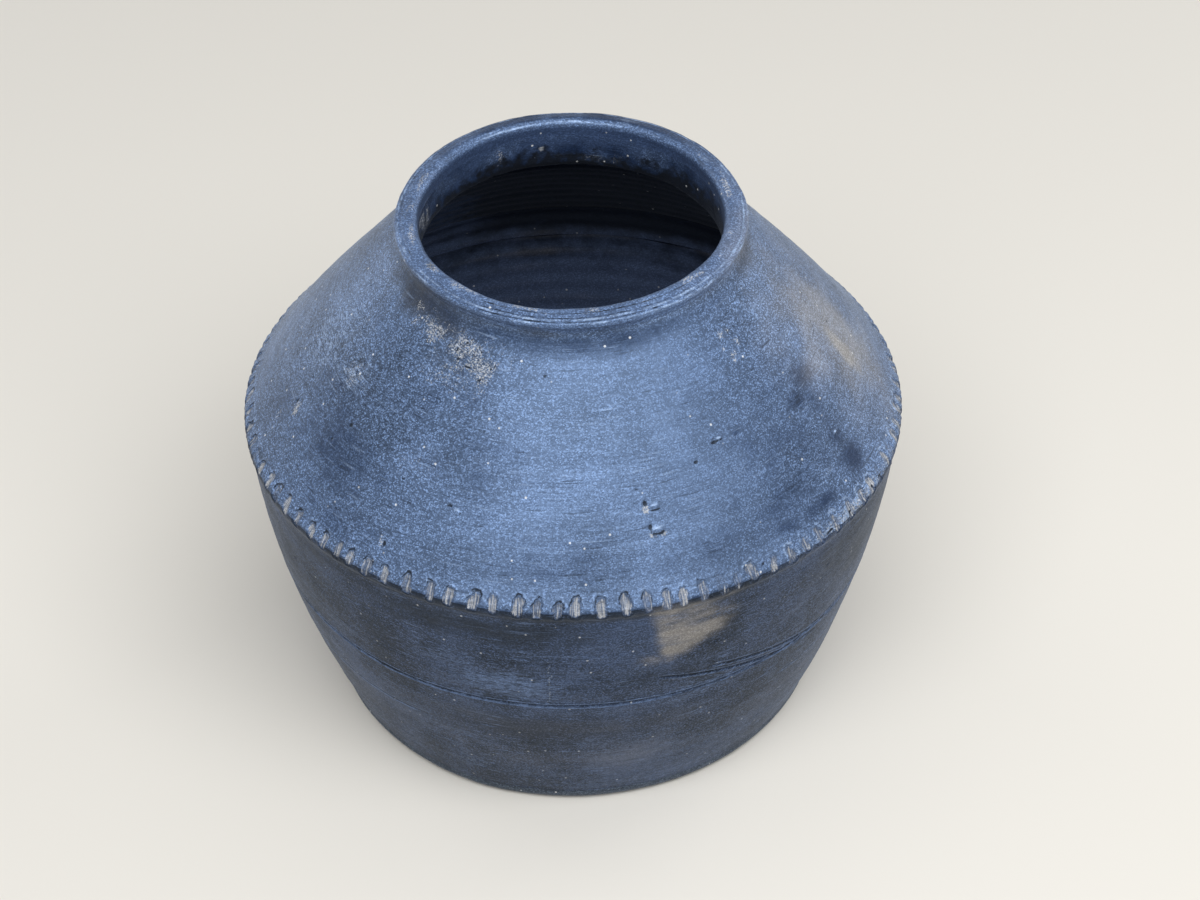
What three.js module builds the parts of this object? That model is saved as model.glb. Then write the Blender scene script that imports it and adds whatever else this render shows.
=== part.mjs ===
// A smoke-blackened clay urn, hand built from nine clay pieces luted together with slip.
// Millimetres, +Z up. The origin is the centre of the flat underside.
import * as THREE from 'three';

// Base slab
const BASE_RADIUS = 109; // flat underside
const FOOT_ROUNDING = 7; // rounded edge from the underside to the wall
const BASE_THICKNESS = 11;

// Lower wall, built up in two courses
const LOWER_COURSE_HEIGHT = 86; // ground to the join between the courses
const UPPER_COURSE_HEIGHT = 64; // that join to the sharp shoulder line
const LOWER_WALL = 9;
const LOWER_SWELL = 5.6; // how far the wall bows out from a straight line
const COURSE_SCARF = 4; // rise of the sloped join from the outer to the inner face

// Shoulder
const BELLY_RADIUS = 149.2; // the sharp line where the lower wall turns into the shoulder
const SHOULDER_RISE = 81; // height from that line to the foot of the neck
const SHOULDER_WALL = 8;
const SHOULDER_SWELL = 3; // how far the shoulder bows up from a straight line

// Notched band, pressed into a shallow groove along the shoulder line
const BAND_BELOW = 6; // reach down the lower wall
const BAND_INSET = 5.5; // reach in over the shoulder, measured level
const BAND_PROUD = 0.8; // crest of the band outside the shoulder line
const BAND_EDGE = 0.7; // step at the upper and lower edges of the band
const CREST_BELOW = 3; // the crest's lower corner, under the shoulder line
const CREST_ABOVE = 0.5; // the crest's upper corner, over the shoulder line
const GROOVE_DEPTH = 5.5;
const NOTCH_COUNT = 100;
const NOTCH_WIDTH = 5.6; // across the mouth of a notch
const NOTCH_FLOOR = 3; // across its floor
const NOTCH_DEPTH = 1.8;

// Neck collar, seated on the bevelled edge of the shoulder's opening
const MOUTH_RADIUS = 67;
const COLLAR_WALL = 8.2;
const COLLAR_RISE = 10.6; // foot of the neck to the underside of the rim
const NECK_FLARE = 6; // how far the neck spreads outward at its foot

// Rim, a rolled strip on top of the collar
const RIM_RISE = 7.9; // seat to crest
const RIM_OVERHANG = 2; // how far the rim stands out over the neck
const RIM_BEVEL_WIDTH = 3.2; // slope inside the crest
const RIM_BEVEL_DROP = 2.8;
const RIM_TOP_DROP = 1.5; // fall of the top from the crest to the outer edge
const RIM_FACE_HEIGHT = 3.4; // outer face under the top
const RIM_EDGE_ROUNDING = 1; // rounding along the rim's outer edges

// Coils pressed into the two inside corners
const BASE_COIL_LEG = 11;
const SHOULDER_COIL_REACH = 12; // to each side of the corner
const SHOULDER_COIL_THICKNESS = 4.5;
const SHOULDER_COIL_EDGE = 1;

// Layer of slip between two pieces
const SLIP = 0.3;

// Facets round the pot, and steps along the curves
const FACETS = 72;
const COURSE_STEPS = 3;
const SHOULDER_STEPS = 5;
const CURVE_STEPS = 4;
const EDGE_STEPS = 2;

// Sizes that follow from those above
const footRadius = BASE_RADIUS + FOOT_ROUNDING;
const bellyHeight = LOWER_COURSE_HEIGHT + UPPER_COURSE_HEIGHT;
const neckHeight = bellyHeight + SHOULDER_RISE;
const neckRadius = MOUTH_RADIUS + COLLAR_WALL;
const neckFootRadius = neckRadius + NECK_FLARE;
const rimRadius = neckRadius + RIM_OVERHANG;
const bandRadius = BELLY_RADIUS + BAND_PROUD;

// Outlines are drawn in the half plane of radius (x) and height (y)
function point(radius, height) {
  return new THREE.Vector2(radius, height);
}

function halfway(start, end) {
  return start.clone().lerp(end, 0.5);
}

// A curve whose middle is pushed off the straight line by the given bow.
// The curve reaches half of the way to its control point, so the bow counts twice there.
function bowedLine(start, end, bow) {
  const control = halfway(start, end).addScaledVector(bow, 2);
  return new THREE.QuadraticBezierCurve(start, control, end);
}

// Unit vector from the outer face of a wall into its thickness
function inward(curve, t) {
  const along = curve.getTangent(t);
  return point(-along.y, along.x);
}

// Evenly spaced values, both ends included
function spaced(from, to, steps) {
  return Array.from({ length: steps + 1 }, (_, i) => THREE.MathUtils.lerp(from, to, i / steps));
}

// The point where two straight lines cross
function crossing(start, direction, otherStart, otherDirection) {
  const between = otherStart.clone().sub(start);
  const distance = between.cross(otherDirection) / direction.cross(otherDirection);
  return start.clone().addScaledVector(direction, distance);
}

// The point at a distance from one point towards another
function towards(start, target, distance) {
  const direction = target.clone().sub(start).normalize();
  return start.clone().addScaledVector(direction, distance);
}

// A profile turned round the pot's axis
function turned(profile) {
  const geometry = new THREE.LatheGeometry(profile, FACETS);
  return geometry.rotateX(Math.PI / 2);
}

// An outline away from the axis, closed on itself and turned
function turnedRing(outline) {
  return turned([...outline, outline[0]]);
}

// A closed ring through one section outline for each angle
function ringOfSections(sections, angles) {
  const pointCount = sections[0].length;
  const positions = [];
  const indices = [];
  sections.forEach((section, column) => {
    const next = (column + 1) % sections.length;
    section.forEach((corner, row) => {
      const x = corner.x * Math.cos(angles[column]);
      const y = corner.x * Math.sin(angles[column]);
      positions.push(x, y, corner.y);
      const above = (row + 1) % pointCount;
      const here = column * pointCount + row;
      const hereAbove = column * pointCount + above;
      const beside = next * pointCount + row;
      const besideAbove = next * pointCount + above;
      indices.push(here, beside, besideAbove, here, besideAbove, hereAbove);
    });
  });
  const geometry = new THREE.BufferGeometry();
  geometry.setAttribute('position', new THREE.Float32BufferAttribute(positions, 3));
  geometry.setIndex(indices);
  return geometry;
}

function clayPiece(name, geometry, color, roughness) {
  const material = new THREE.MeshStandardMaterial({ color, roughness, metalness: 0 });
  const mesh = new THREE.Mesh(geometry, material);
  mesh.name = name;
  return mesh;
}

// The outer faces of the lower wall and of the shoulder
const lowerFace = bowedLine(
  point(footRadius, FOOT_ROUNDING),
  point(BELLY_RADIUS, bellyHeight),
  point(LOWER_SWELL, 0),
);
const shoulderFace = bowedLine(
  point(BELLY_RADIUS, bellyHeight),
  point(neckFootRadius, neckHeight),
  point(0, SHOULDER_SWELL),
);

// The lower wall's outer and inner faces at a height
function lowerShare(height) {
  return (height - FOOT_ROUNDING) / (bellyHeight - FOOT_ROUNDING);
}

function lowerOuter(height) {
  return lowerFace.getPoint(lowerShare(height));
}

function lowerInner(height) {
  const share = lowerShare(height);
  const levelThickness = LOWER_WALL / inward(lowerFace, share).x;
  return lowerFace.getPoint(share).add(point(levelThickness, 0));
}

function shoulderInner(share) {
  return shoulderFace.getPoint(share).addScaledVector(inward(shoulderFace, share), SHOULDER_WALL);
}

// The inside corner where the lower wall and the shoulder meet
const insideCorner = crossing(
  lowerInner(bellyHeight),
  lowerFace.getTangent(1),
  shoulderInner(0),
  shoulderFace.getTangent(0),
);

// The groove for the band: its lower edge, its bottom on the seam, and its upper edge
const bandUpperShare = BAND_INSET / (BELLY_RADIUS - neckFootRadius);
const grooveLower = lowerOuter(bellyHeight - BAND_BELOW);
const grooveBottom = point(BELLY_RADIUS - GROOVE_DEPTH, bellyHeight);
const grooveUpper = shoulderFace.getPoint(bandUpperShare);

// How far slip lifts a piece off the one under it
const slipLift = point(0, SLIP);

// A slab with a rounded foot and a sloped seat for the wall round its edge
function baseDisc() {
  const seat = lowerInner(BASE_THICKNESS);
  const foot = new THREE.Path();
  foot.moveTo(0, 0);
  foot.lineTo(BASE_RADIUS, 0);
  foot.quadraticCurveTo(footRadius, 0, footRadius, FOOT_ROUNDING);
  foot.lineTo(seat.x, seat.y);
  foot.lineTo(0, BASE_THICKNESS);
  return turned(foot.getPoints(CURVE_STEPS));
}

// A coil smeared into the corner between the base and the wall
function baseSeamCoil() {
  const floor = BASE_THICKNESS + SLIP;
  const heel = lowerInner(floor).sub(point(SLIP, 0));
  const top = lowerInner(floor + BASE_COIL_LEG).sub(point(SLIP, 0));
  const toe = point(heel.x - BASE_COIL_LEG, floor);
  const hollow = halfway(heel, halfway(top, toe));
  const face = new THREE.QuadraticBezierCurve(top, hollow, toe);
  return turnedRing([heel, ...face.getPoints(CURVE_STEPS)]);
}

// The lower course stands on the base and ends in a sloped join
function footWall() {
  const joinOutside = LOWER_COURSE_HEIGHT - SLIP / 2;
  const joinInside = joinOutside + COURSE_SCARF;
  const outside = spaced(FOOT_ROUNDING + SLIP, joinOutside, COURSE_STEPS).map(lowerOuter);
  const inside = spaced(joinInside, BASE_THICKNESS + SLIP, COURSE_STEPS).map(lowerInner);
  return turnedRing([...outside, ...inside]);
}

// The inner face of the upper course, from the inside corner down to its join
function bellyInside() {
  const joinInside = LOWER_COURSE_HEIGHT + SLIP / 2 + COURSE_SCARF;
  const heights = spaced(insideCorner.y, joinInside, COURSE_STEPS).slice(1);
  return [insideCorner, ...heights.map(lowerInner)];
}

// The upper course ends at the seam, with half of the band's groove in its edge
function bellyWall() {
  const joinOutside = LOWER_COURSE_HEIGHT + SLIP / 2;
  const outside = spaced(joinOutside, bellyHeight - BAND_BELOW, COURSE_STEPS).map(lowerOuter);
  return turnedRing([...outside, grooveBottom, ...bellyInside()]);
}

// The shoulder closes in from the seam to the bevelled edge that carries the neck
function shoulderWall() {
  const outside = spaced(bandUpperShare, 1, SHOULDER_STEPS).map((share) => shoulderFace.getPoint(share));
  const inside = spaced(1, 0, SHOULDER_STEPS).slice(0, -1).map(shoulderInner);
  const seam = [insideCorner.clone().add(slipLift), grooveBottom.clone().add(slipLift)];
  return turnedRing([...outside, ...inside, ...seam]);
}

// A flattened coil that covers the seam on the inside
function shoulderSeamCoil() {
  const nextDown = bellyInside()[1];
  const nextUp = shoulderInner(1 / SHOULDER_STEPS);
  const lowEnd = towards(insideCorner, nextDown, SHOULDER_COIL_REACH);
  const highEnd = towards(insideCorner, nextUp, SHOULDER_COIL_REACH);
  const offLower = inward(lowerFace, 1);
  const offShoulder = inward(shoulderFace, 0);
  const offCorner = offLower.clone().add(offShoulder).normalize();
  const lifted = (start, off, distance) => start.clone().addScaledVector(off, SLIP + distance);
  return turnedRing([
    lifted(lowEnd, offLower, 0),
    lifted(insideCorner, offCorner, 0),
    lifted(highEnd, offShoulder, 0),
    lifted(highEnd, offShoulder, SHOULDER_COIL_EDGE),
    lifted(insideCorner, offCorner, SHOULDER_COIL_THICKNESS),
    lifted(lowEnd, offLower, SHOULDER_COIL_EDGE),
  ]);
}

// The band's section, with its crest and upper face pressed in by the given depth
function bandSection(pressed) {
  const outOfLower = inward(lowerFace, 1).negate();
  const outOfShoulder = inward(shoulderFace, bandUpperShare).negate();
  const upperEdge = grooveUpper.clone().addScaledVector(outOfShoulder, BAND_EDGE);
  const crestUpper = point(bandRadius, bellyHeight + CREST_ABOVE);
  const faceMiddle = halfway(crestUpper, upperEdge);
  const seatLower = grooveLower.clone().add(point(SLIP, SLIP));
  const seatBottom = grooveBottom.clone().add(point(SLIP, SLIP / 2));
  const seatUpper = grooveUpper.clone().addScaledVector(outOfShoulder, SLIP);
  return [
    seatLower,
    grooveLower.clone().addScaledVector(outOfLower, BAND_EDGE).add(slipLift),
    point(bandRadius, bellyHeight - CREST_BELOW),
    crestUpper.addScaledVector(outOfShoulder, -pressed),
    faceMiddle.addScaledVector(outOfShoulder, -pressed),
    upperEdge,
    seatUpper,
    seatBottom,
  ];
}

// The band with its row of notches, each one a floor between two sloped cheeks
function notchedBand() {
  const pitch = (2 * Math.PI) / NOTCH_COUNT;
  const halfMouth = NOTCH_WIDTH / 2 / bandRadius;
  const halfFloor = NOTCH_FLOOR / 2 / bandRadius;
  const ridge = bandSection(0);
  const floor = bandSection(NOTCH_DEPTH);
  const sections = [];
  const angles = [];
  for (let notch = 0; notch < NOTCH_COUNT; notch += 1) {
    const middle = notch * pitch;
    sections.push(ridge, floor, floor, ridge);
    angles.push(middle - halfMouth, middle - halfFloor, middle + halfFloor, middle + halfMouth);
  }
  return ringOfSections(sections, angles);
}

// The collar rises from the shoulder's bevelled edge in a hollow curve
function neckCollar() {
  const along = shoulderFace.getTangent(1);
  const seatOutside = point(neckFootRadius, 0).addScaledVector(along, SLIP);
  const seatInside = seatOutside.clone().addScaledVector(inward(shoulderFace, 1), SHOULDER_WALL);
  const top = point(neckRadius, COLLAR_RISE);
  const bend = crossing(seatOutside, along, top, point(0, 1));
  const hollow = new THREE.QuadraticBezierCurve(seatOutside, bend, top);
  return turnedRing([
    ...hollow.getPoints(CURVE_STEPS),
    point(MOUTH_RADIUS, COLLAR_RISE),
    point(MOUTH_RADIUS, seatInside.y),
    seatInside,
  ]);
}

// The rim overhangs the neck and slopes in to the mouth from its crest
function rimRoll() {
  const outerTop = RIM_RISE - RIM_TOP_DROP;
  const faceFoot = outerTop - RIM_FACE_HEIGHT;
  const rim = new THREE.Path();
  rim.moveTo(MOUTH_RADIUS, 0);
  rim.lineTo(neckRadius, 0);
  rim.lineTo(rimRadius - RIM_EDGE_ROUNDING, faceFoot);
  rim.quadraticCurveTo(rimRadius, faceFoot, rimRadius, faceFoot + RIM_EDGE_ROUNDING);
  rim.lineTo(rimRadius, outerTop - RIM_EDGE_ROUNDING);
  rim.quadraticCurveTo(rimRadius, outerTop, rimRadius - RIM_EDGE_ROUNDING, outerTop);
  rim.lineTo(MOUTH_RADIUS + RIM_BEVEL_WIDTH, RIM_RISE);
  rim.lineTo(MOUTH_RADIUS, RIM_RISE - RIM_BEVEL_DROP);
  return turnedRing(rim.getPoints(EDGE_STEPS));
}

const rim = clayPiece('rim_roll', rimRoll(), '#454c57', 0.55);
rim.position.z = COLLAR_RISE + SLIP;

const neck = new THREE.Group();
neck.position.z = neckHeight;
neck.add(clayPiece('neck_collar', neckCollar(), '#3b4048', 0.6), rim);

const urn = new THREE.Group();
urn.name = 'clay_urn';
urn.add(
  clayPiece('base_disc', baseDisc(), '#2b2c2f', 0.75),
  clayPiece('base_seam_coil', baseSeamCoil(), '#232427', 0.8),
  clayPiece('foot_wall', footWall(), '#2c2e32', 0.65),
  clayPiece('belly_wall', bellyWall(), '#2f3237', 0.62),
  clayPiece('shoulder_seam_coil', shoulderSeamCoil(), '#232427', 0.8),
  clayPiece('notched_band', notchedBand(), '#4d4c49', 0.7),
  clayPiece('shoulder_wall', shoulderWall(), '#3f4650', 0.5),
  neck,
);

export default urn;
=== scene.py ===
"""Looks of a hand-built clay urn, blackened in a smoky fire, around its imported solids."""
import math

import bpy
import numpy as np
from mathutils import Matrix, Vector


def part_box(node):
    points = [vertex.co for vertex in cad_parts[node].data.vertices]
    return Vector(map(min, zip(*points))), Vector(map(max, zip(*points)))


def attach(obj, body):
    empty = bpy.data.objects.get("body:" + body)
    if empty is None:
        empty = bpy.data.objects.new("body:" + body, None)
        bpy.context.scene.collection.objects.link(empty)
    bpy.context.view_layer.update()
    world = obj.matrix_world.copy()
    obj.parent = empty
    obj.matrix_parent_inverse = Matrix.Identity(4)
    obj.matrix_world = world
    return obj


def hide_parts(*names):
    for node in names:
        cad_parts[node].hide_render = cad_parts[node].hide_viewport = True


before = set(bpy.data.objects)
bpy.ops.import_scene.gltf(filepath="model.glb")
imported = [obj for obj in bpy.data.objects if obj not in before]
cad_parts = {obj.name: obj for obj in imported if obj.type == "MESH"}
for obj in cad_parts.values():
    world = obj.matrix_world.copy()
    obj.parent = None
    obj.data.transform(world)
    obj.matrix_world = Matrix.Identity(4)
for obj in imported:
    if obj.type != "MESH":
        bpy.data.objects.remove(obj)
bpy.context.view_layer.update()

# Sizes are in millimetres until a mesh is made
MM = 0.001
SLIP = 0.3
FULL_TURN = 2 * math.pi


def in_mm(node):
    """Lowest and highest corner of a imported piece."""
    low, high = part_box(node)
    return [v / MM for v in low], [v / MM for v in high]


base_high = in_mm("base_disc")[1]
foot_low = in_mm("foot_wall")[0]
belly_low = in_mm("belly_wall")[0]
band_low, band_high = in_mm("notched_band")
shoulder_high = in_mm("shoulder_wall")[1]
collar_high = in_mm("neck_collar")[1]
rim_low, rim_high = in_mm("rim_roll")

# Main sizes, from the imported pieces
foot_radius = base_high[0]
base_top = base_high[2]
foot_rounding = foot_low[2] - SLIP
join_height = belly_low[2] - SLIP / 2
band_radius = band_high[0]
band_bottom = band_low[2]
neck_height = shoulder_high[2]
neck_foot_radius = collar_high[0] + SLIP / 2
rim_seat = rim_low[2] - SLIP / 2
rim_top = rim_high[2]
rim_radius = rim_high[0]

# Sizes that no box gives
BELLY_HEIGHT = 150
BAND_PROUD = 0.8
BAND_DEPTH = 6.2  # from the face of the belly to the root of the band
LOWER_SWELL = 5.6
SHOULDER_SWELL = 3
LOWER_WALL = 9.3
SHOULDER_WALL = 8
MOUTH_RADIUS = 67
NECK_RADIUS = 75.2
RIM_ROUNDING = 1.2
COURSE_SCARF = 4  # how much higher the join of the two courses lies inside
BASE_COIL_LEG = 11
SHOULDER_COIL_LEG = 12
BAND_TOP = 159.5  # height where the strip of the band meets the shoulder piece
BAND_BLEND = 163  # height where its swelling has run out
LINES_TOP = 105  # height that the two long slanted lines on the wall stay under
CREST = 149.4  # height of the edge between wall and shoulder
RIM_LEAN = 0.025  # rise of the rim towards the back, as a slope
belly_radius = band_radius - BAND_PROUD


def ramp(low, high, value):
    """A soft step from 0 at one level to 1 at the other."""
    share = np.clip((value - low) / (high - low), 0, 1)
    return share * share * (3 - 2 * share)


def bowed(start, control, end, count=80):
    """Points of a curve that leaves and arrives towards its control point."""
    t = np.linspace(0, 1, count)[:, None]
    start, control, end = (np.array(p, float) for p in (start, control, end))
    return (1 - t) ** 2 * start + 2 * t * (1 - t) * control + t ** 2 * end


# Distance between the points of an outline, and the number of them over which a corner is eased
OUTLINE_STEP = 0.25
EASED = 5


def evened(points, soften):
    """The same line with points at even distances, its corners eased over some of them."""
    points = np.array(points, float)
    reach = np.r_[0, np.cumsum(np.hypot(*np.diff(points, axis=0).T))]
    keep = np.r_[True, np.diff(reach) > 1e-6]
    along = np.linspace(0, reach[-1], int(reach[-1] / OUTLINE_STEP) + 2)
    line = np.stack([np.interp(along, reach[keep], points[keep, k]) for k in (0, 1)], axis=1)
    if soften:
        pad = soften // 2
        wide = np.vstack([2 * line[0] - line[pad:0:-1], line, 2 * line[-1] - line[-2:-2 - pad:-1]])
        window = np.ones(soften) / soften
        mean = np.stack([np.convolve(wide[:, k], window, "valid") for k in (0, 1)], axis=1)
        mean[0], mean[-1] = line[0], line[-1]
        line = mean
    return line


class Outline:
    """A line in the half plane of radius and height, measured along its length."""

    def __init__(self, points, soften=0, start=0.0):
        self.line = evened(points, soften)
        steps = np.hypot(*np.diff(self.line, axis=0).T)
        self.along = start + np.r_[0, np.cumsum(steps)]
        tangent = np.gradient(self.line, self.along, axis=0)
        tangent /= np.hypot(tangent[:, 0], tangent[:, 1])[:, None]
        self.out = np.stack([tangent[:, 1], -tangent[:, 0]], axis=1)

    def at(self, along):
        """Radius, height and the direction out of the clay at distances along the line."""
        return [np.interp(along, self.along, c) for c in (*self.line.T, *self.out.T)]

    def along_at(self, height):
        """Distance along the line where it reaches a height."""
        return float(np.interp(height, self.line[:, 1], self.along))


# The whole outer face, from the underside to the crest of the rim
mid_lower = (
    0.5 * (foot_radius + belly_radius) + 2 * LOWER_SWELL,
    0.5 * (foot_rounding + BELLY_HEIGHT),
)
mid_shoulder = (
    0.5 * (belly_radius + neck_foot_radius),
    0.5 * (BELLY_HEIGHT + neck_height) + 2 * SHOULDER_SWELL,
)
lower_face = bowed((foot_radius, foot_rounding), mid_lower, (belly_radius, BELLY_HEIGHT))
shoulder_face = bowed((belly_radius, BELLY_HEIGHT), mid_shoulder, (neck_foot_radius, neck_height))
band_edge = (band_radius, CREST - 1)
band_over = (band_radius - 1.8, CREST + 3.2)
blend_end = np.array([np.interp(BAND_BLEND, shoulder_face[:, 1], shoulder_face[:, 0]), BAND_BLEND])
blend_bend = blend_end + (4.9, -6.4)
rim_edge = rim_radius - RIM_ROUNDING
outer_face = Outline(np.vstack([
    # Rounded foot and wall
    bowed((foot_radius - foot_rounding, 0), (foot_radius, 0), (foot_radius, foot_rounding)),
    lower_face[lower_face[:, 1] < band_bottom],
    # Band: its face, its edge and the swelling that runs out on the shoulder
    bowed((belly_radius - 0.1, band_bottom + 1.2), (band_radius, band_bottom + 2.6), band_edge),
    bowed(band_edge, (band_radius, CREST + 1.5), band_over),
    bowed(band_over, blend_bend, blend_end),
    # Shoulder and neck
    shoulder_face[shoulder_face[:, 1] > BAND_BLEND],
    bowed((neck_foot_radius, neck_height), (NECK_RADIUS, neck_height + 6.1), (NECK_RADIUS, rim_seat)),
    # Rim: its overhang, its outer edge and its top
    bowed(
        (NECK_RADIUS + 0.1, rim_seat + 0.7), (NECK_RADIUS + 0.3, rim_seat + 3),
        (rim_edge + 0.6, rim_seat + 3.4),
    ),
    bowed((rim_edge + 0.7, rim_seat + 3.5), (rim_radius, rim_seat + 3.6), (rim_radius, rim_seat + 4.6)),
    bowed((rim_radius, rim_top - 2.9), (rim_radius, rim_top - 1.7), (rim_edge, rim_top - 1.4)),
    bowed((rim_edge - 1, rim_top - 1.2), (MOUTH_RADIUS + 4.6, rim_top - 0.1), (MOUTH_RADIUS + 3.2, rim_top)),
]), EASED)
at_foot = outer_face.along_at(foot_rounding)
at_join = outer_face.along_at(join_height)
at_lines = outer_face.along_at(LINES_TOP)
at_notches = outer_face.along_at(band_bottom - 1)
at_edge = outer_face.along_at(CREST)
at_band = outer_face.along_at(CREST + 0.6)
at_shoulder = outer_face.along_at(BAND_TOP)
at_neck = outer_face.along_at(neck_height)
at_rim = outer_face.along_at(rim_seat)
at_crest = float(outer_face.along[-1])

# Inner faces, from the mouth down to the floor of the pot
lower_inner = lower_face - (LOWER_WALL, 0)
slope = np.gradient(shoulder_face, axis=0)
slope /= np.hypot(slope[:, 0], slope[:, 1])[:, None]
shoulder_inner = shoulder_face + SHOULDER_WALL * np.stack([-slope[:, 1], slope[:, 0]], axis=1)


def on_inner_wall(height):
    """The place on the inner face of the wall at a height."""
    return np.array((float(np.interp(height, lower_inner[:, 1], lower_inner[:, 0])), height))


corner = on_inner_wall(BELLY_HEIGHT - 1)
heel = on_inner_wall(base_top)
shoulder_inside = np.vstack([shoulder_inner[shoulder_inner[:, 1] > corner[1] + 1][::-1], corner])
inner_heights = lower_inner[:, 1]
above_join = inner_heights > join_height + COURSE_SCARF
belly_inside = np.vstack([corner, lower_inner[above_join & (inner_heights < corner[1] - 1)][::-1]])
foot_rows = lower_inner[~above_join & (inner_heights > base_top)][::-1]
foot_inside = np.vstack([belly_inside[-1], foot_rows, heel])
collar_foot = shoulder_inside[0]
collar_inside = np.vstack([
    (MOUTH_RADIUS, rim_seat),
    (MOUTH_RADIUS, collar_foot[1] + 5),
    bowed((MOUTH_RADIUS, collar_foot[1] + 4), (MOUTH_RADIUS, collar_foot[1] - 1.5), collar_foot),
])

# Hand-made unevenness
REFERENCE_RADIUS = 130
NOISE_START = -40
NOISE_REACH = 440
# Waves round the pot: size in mm, number in a turn, and where they start
OUT_OF_ROUND = ((0.5, 2, 0.9), (0.3, 3, 2.2), (0.18, 5, 0.5))


def clay_noise(angle, along, wide, tall, seed):
    """Smooth unevenness from -1 to 1, in lumps of a width round the pot and a height along its wall."""
    columns = max(4, round(FULL_TURN * REFERENCE_RADIUS / wide))
    rows = int(NOISE_REACH / tall) + 2
    lumps = np.random.default_rng(seed).uniform(-1, 1, (rows + 1, columns))
    u = (angle / FULL_TURN % 1) * columns
    v = np.clip((along - NOISE_START) / tall, 0, rows - 1e-6)
    i, j = np.floor(u).astype(int), np.floor(v).astype(int)
    fu, fv = ramp(0, 1, u - i), ramp(0, 1, v - j)
    i, beside = i % columns, (i + 1) % columns
    low = lumps[j, i] * (1 - fu) + lumps[j, beside] * fu
    high = lumps[j + 1, i] * (1 - fu) + lumps[j + 1, beside] * fu
    return low * (1 - fv) + high * fv


class Wall:
    """Places on a face of the pot: angles round it, distances along its outline, and radii."""

    def __init__(self, angle, along, radius):
        self.angle = angle
        self.along = along
        self.radius = radius

    def turn(self, degrees):
        """Angle from a place on the pot, between half a turn either way."""
        return (self.angle - math.radians(degrees) + math.pi) % FULL_TURN - math.pi

    def aside(self, degrees):
        """Distance round the pot from a place on it."""
        return self.turn(degrees) * self.radius

    def above(self, height):
        """Distance along the outer face from a height on it."""
        return self.along - outer_face.along_at(height)

    def noise(self, wide, tall, seed):
        """Unevenness in lumps of one size."""
        return clay_noise(self.angle, self.along, wide, tall, seed)

    def lumpy(self, *lumps):
        """A sum of unevenness, each with its strength, width, height and seed."""
        return sum(strength * self.noise(*lump) for strength, *lump in lumps)


def hand_built(angle, radius, height):
    """Places on the pot: slightly out of round, with the mouth leaning to the front."""
    belly = ramp(0, 120, height)
    oval = sum(size * np.cos(count * angle + start) for size, count, start in OUT_OF_ROUND)
    radius = radius + oval * (0.35 + 0.65 * belly) * ramp(0, 60, radius)
    x, y = radius * np.sin(angle), -radius * np.cos(angle)
    lean = RIM_LEAN * ramp(neck_height - 30, rim_seat, height)
    return np.stack([x, y, np.maximum(height, 0) + lean * y], axis=-1)


# Marks of fire, dust and wear, and of painted shade and highlights, kept at every point of a mesh
MARKS = ("ash_and_highlight", "dust", "soot_and_shade", "brown", "pit_shade", "notch", "wear_and_highlight", "inside", "polish")

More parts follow.
